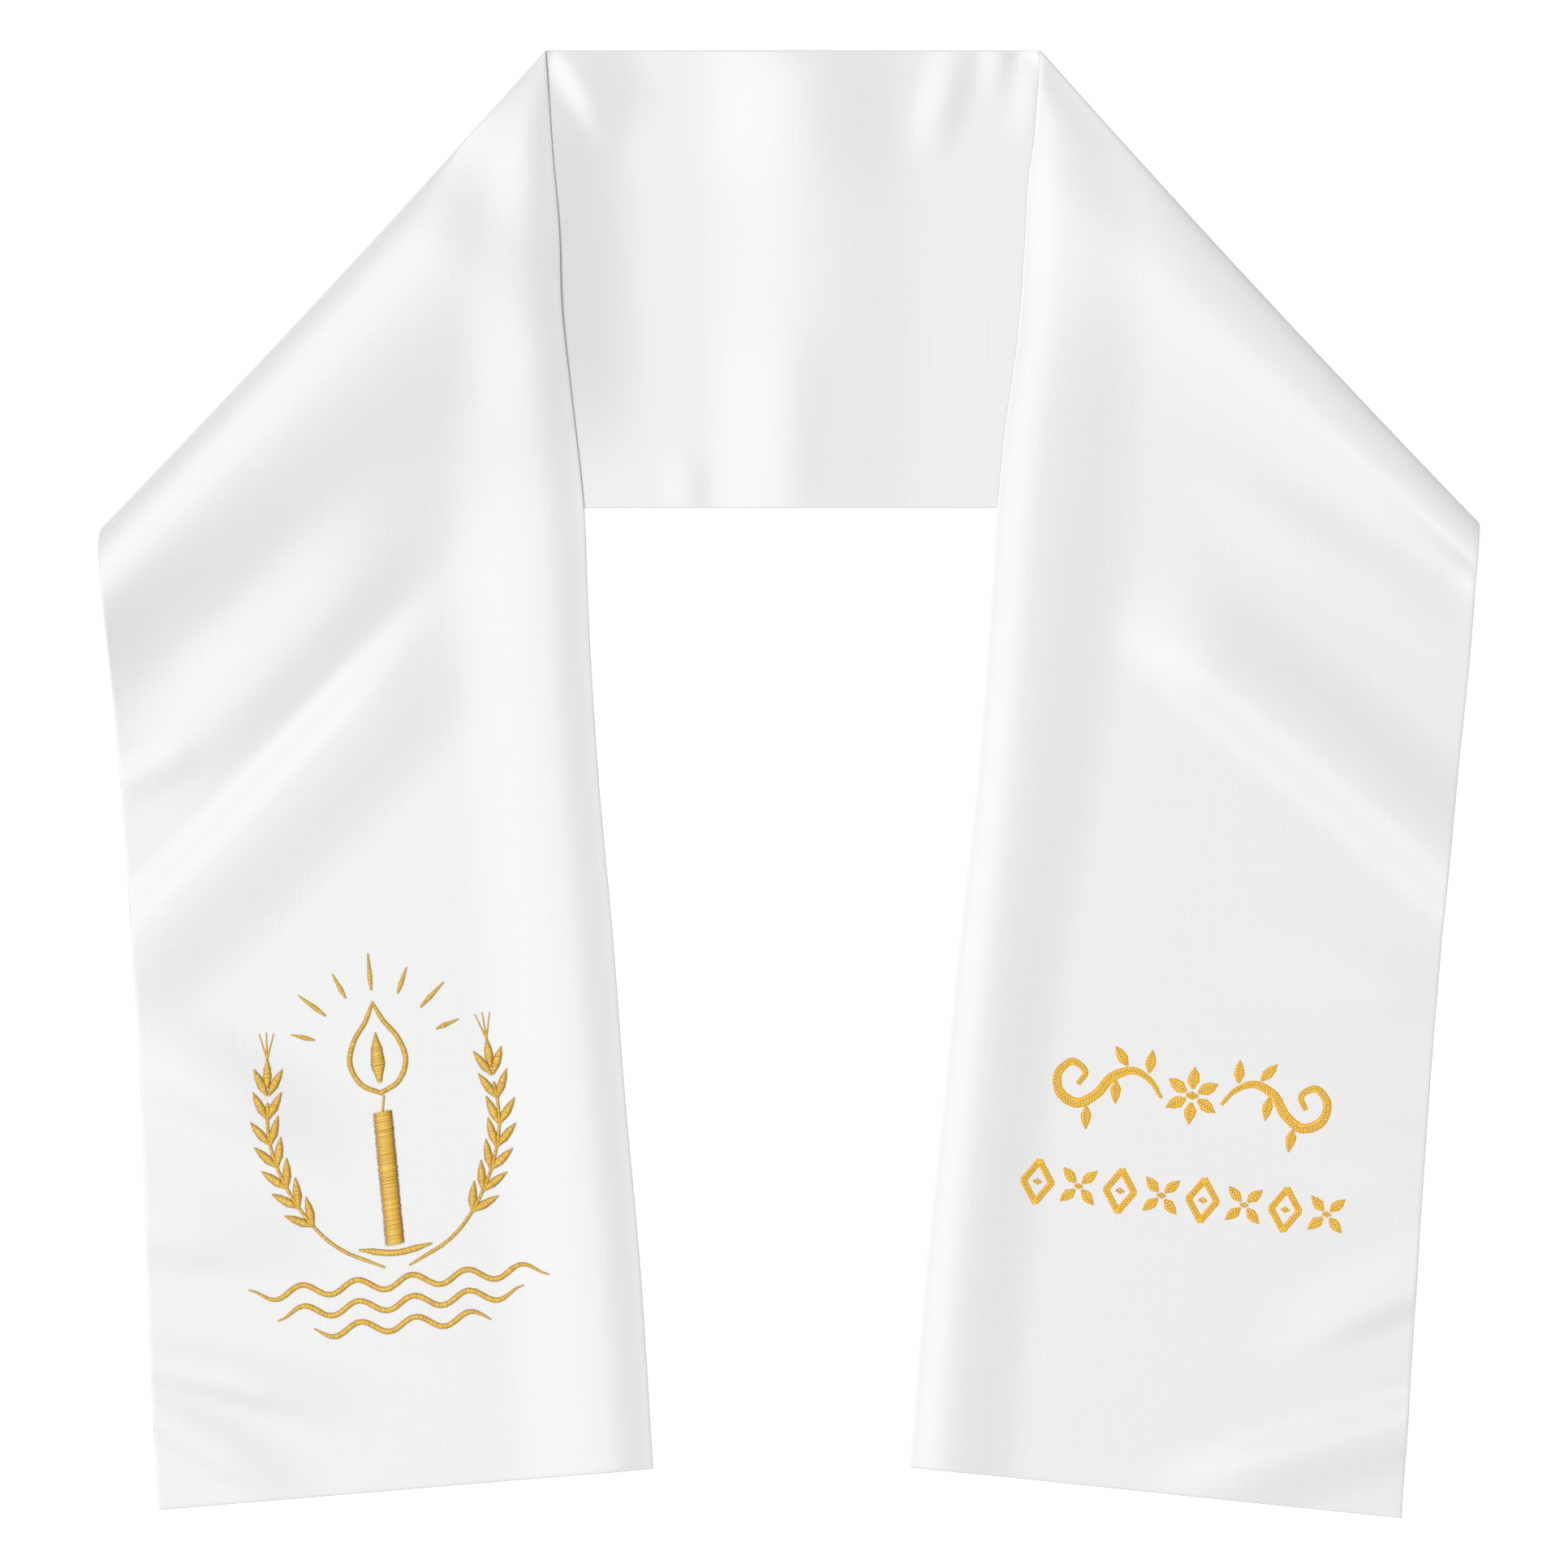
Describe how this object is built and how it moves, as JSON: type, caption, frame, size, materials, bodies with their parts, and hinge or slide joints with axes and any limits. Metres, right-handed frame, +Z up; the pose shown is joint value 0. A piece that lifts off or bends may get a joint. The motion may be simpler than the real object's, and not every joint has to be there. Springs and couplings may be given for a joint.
{
  "type": "baptism stole",
  "caption": "Long strip of white satin worn round the neck by a child at a baptism, folded down at both shoulders and laid out flat.",
  "frame": {"origin": "centre of the bounding box on the surface that the stole lies on", "axes": "+X to the right as seen from above, +Y from the hems towards the back of the neck, +Z up from the surface"},
  "size_m": [0.4248, 0.4524, 0.0078],
  "materials": {
    "white_satin": "woven satin, softly glossy",
    "gold_thread": "satin stitch in shiny embroidery thread"
  },
  "bodies": {
    "root": {"back_neck": "white_satin", "left_front": "white_satin", "right_front": "white_satin"}
  },
  "joints": []
}
